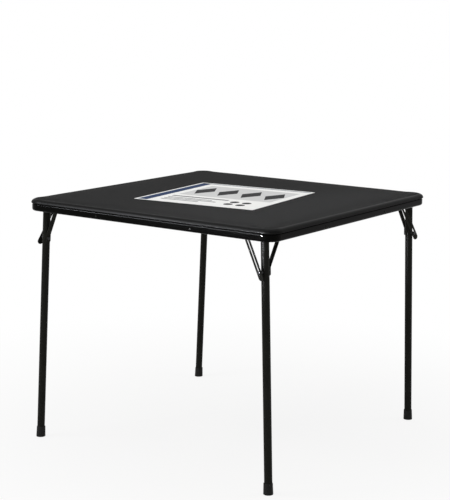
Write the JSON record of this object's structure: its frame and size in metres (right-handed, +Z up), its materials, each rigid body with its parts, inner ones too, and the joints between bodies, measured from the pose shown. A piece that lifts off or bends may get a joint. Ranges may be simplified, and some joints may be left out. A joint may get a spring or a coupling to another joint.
{
  "type": "folding card table",
  "caption": "Square folding card table with a padded top on a steel rail and a folding, splayed tube leg with a slotted lock brace at each corner.",
  "frame": {"origin": "on the floor under the middle of the table top", "axes": "+Z up, the sides of the square top along X and Y, and the front right corner, which is the nearest one in the picture, at +X and -Y"},
  "size_m": [0.851, 0.851, 0.711],
  "materials": {
    "vinyl": "black vinyl, low sheen",
    "foam": "open cell foam, hidden",
    "hardboard": "hardboard, screen back",
    "painted_steel": "black powder coat, semi gloss",
    "black_rivet": "black coated rivet",
    "zinc_steel": "zinc plated",
    "nylon": "black nylon",
    "cap_plastic": "moulded black polythene"
  },
  "bodies": {
    "root": {"vinyl_cover": "vinyl", "foam_pad": "foam", "top_board": "hardboard", "rail_frame": "painted_steel", "board_clips": "zinc_steel", "clip_rivets": "black_rivet", "board_screws": "zinc_steel", "bracket_rivets": "black_rivet", "corner_bracket_front_right": "painted_steel", "hinge_pin_front_right": "zinc_steel", "hinge_spacer_front_right": "nylon", "brace_pivot_front_right": "zinc_steel", "corner_bracket_front_left": "painted_steel", "hinge_pin_front_left": "zinc_steel", "hinge_spacer_front_left": "nylon", "brace_pivot_front_left": "zinc_steel", "corner_bracket_back_left": "painted_steel", "hinge_pin_back_left": "zinc_steel", "hinge_spacer_back_left": "nylon", "brace_pivot_back_left": "zinc_steel", "corner_bracket_back_right": "painted_steel", "hinge_pin_back_right": "zinc_steel", "hinge_spacer_back_right": "nylon", "brace_pivot_back_right": "zinc_steel"},
    "leg_front_right": {"leg_tube_front_right": "painted_steel", "side_brace_front_right": "painted_steel", "stud_bolt_front_right": "zinc_steel", "floor_cap_front_right": "cap_plastic"},
    "brace_front_right": {"lock_brace_front_right": "painted_steel"},
    "stud_front_right": {"lock_stud_front_right": "zinc_steel"},
    "leg_front_left": {"leg_tube_front_left": "painted_steel", "side_brace_front_left": "painted_steel", "stud_bolt_front_left": "zinc_steel", "floor_cap_front_left": "cap_plastic"},
    "brace_front_left": {"lock_brace_front_left": "painted_steel"},
    "stud_front_left": {"lock_stud_front_left": "zinc_steel"},
    "leg_back_left": {"leg_tube_back_left": "painted_steel", "side_brace_back_left": "painted_steel", "stud_bolt_back_left": "zinc_steel", "floor_cap_back_left": "cap_plastic"},
    "brace_back_left": {"lock_brace_back_left": "painted_steel"},
    "stud_back_left": {"lock_stud_back_left": "zinc_steel"},
    "leg_back_right": {"leg_tube_back_right": "painted_steel", "side_brace_back_right": "painted_steel", "stud_bolt_back_right": "zinc_steel", "floor_cap_back_right": "cap_plastic"},
    "brace_back_right": {"lock_brace_back_right": "painted_steel"},
    "stud_back_right": {"lock_stud_back_right": "zinc_steel"}
  },
  "joints": [
    {"name": "leg_fold_front_right", "type": "hinge", "parent": "root", "child": "leg_front_right", "pos_m": [0.3752, -0.3875, 0.6825], "axis": [0.2588, 0.9659, 0], "range_deg": [0, 92.68]},
    {"name": "brace_fold_front_right", "type": "hinge", "parent": "root", "child": "brace_front_right", "pos_m": [0.3269, -0.37456, 0.6825], "axis": [0.2588, 0.9659, 0], "range_deg": [0, 121.19]},
    {"name": "stud_slide_front_right", "type": "slide", "parent": "brace_front_right", "child": "stud_front_right", "axis": [-0.4988, 0.1337, 0.8563], "range_m": [0, 0.06508]},
    {"name": "leg_fold_front_left", "type": "hinge", "parent": "root", "child": "leg_front_left", "pos_m": [-0.3875, -0.3752, 0.6825], "axis": [0.9659, -0.2588, 0], "range_deg": [0, 92.68]},
    {"name": "brace_fold_front_left", "type": "hinge", "parent": "root", "child": "brace_front_left", "pos_m": [-0.37456, -0.3269, 0.6825], "axis": [0.9659, -0.2588, 0], "range_deg": [0, 121.19]},
    {"name": "stud_slide_front_left", "type": "slide", "parent": "brace_front_left", "child": "stud_front_left", "axis": [0.1337, 0.4988, 0.8563], "range_m": [0, 0.06508]},
    {"name": "leg_fold_back_left", "type": "hinge", "parent": "root", "child": "leg_back_left", "pos_m": [-0.3752, 0.3875, 0.6825], "axis": [-0.2588, -0.9659, 0], "range_deg": [0, 92.68]},
    {"name": "brace_fold_back_left", "type": "hinge", "parent": "root", "child": "brace_back_left", "pos_m": [-0.3269, 0.37456, 0.6825], "axis": [-0.2588, -0.9659, 0], "range_deg": [0, 121.19]},
    {"name": "stud_slide_back_left", "type": "slide", "parent": "brace_back_left", "child": "stud_back_left", "axis": [0.4988, -0.1337, 0.8563], "range_m": [0, 0.06508]},
    {"name": "leg_fold_back_right", "type": "hinge", "parent": "root", "child": "leg_back_right", "pos_m": [0.3875, 0.3752, 0.6825], "axis": [-0.9659, 0.2588, 0], "range_deg": [0, 92.68]},
    {"name": "brace_fold_back_right", "type": "hinge", "parent": "root", "child": "brace_back_right", "pos_m": [0.37456, 0.3269, 0.6825], "axis": [-0.9659, 0.2588, 0], "range_deg": [0, 121.19]},
    {"name": "stud_slide_back_right", "type": "slide", "parent": "brace_back_right", "child": "stud_back_right", "axis": [-0.1337, -0.4988, 0.8563], "range_m": [0, 0.06508]}
  ],
  "couplings": [
    {"joint": "brace_fold_front_right", "follows": "leg_fold_front_right", "ratio": 1.3065},
    {"joint": "stud_slide_front_right", "follows": "leg_fold_front_right", "m_per_rad": 0.040172},
    {"joint": "brace_fold_front_left", "follows": "leg_fold_front_left", "ratio": 1.3065},
    {"joint": "stud_slide_front_left", "follows": "leg_fold_front_left", "m_per_rad": 0.040172},
    {"joint": "brace_fold_back_left", "follows": "leg_fold_back_left", "ratio": 1.3065},
    {"joint": "stud_slide_back_left", "follows": "leg_fold_back_left", "m_per_rad": 0.040172},
    {"joint": "brace_fold_back_right", "follows": "leg_fold_back_right", "ratio": 1.3065},
    {"joint": "stud_slide_back_right", "follows": "leg_fold_back_right", "m_per_rad": 0.040172}
  ]
}
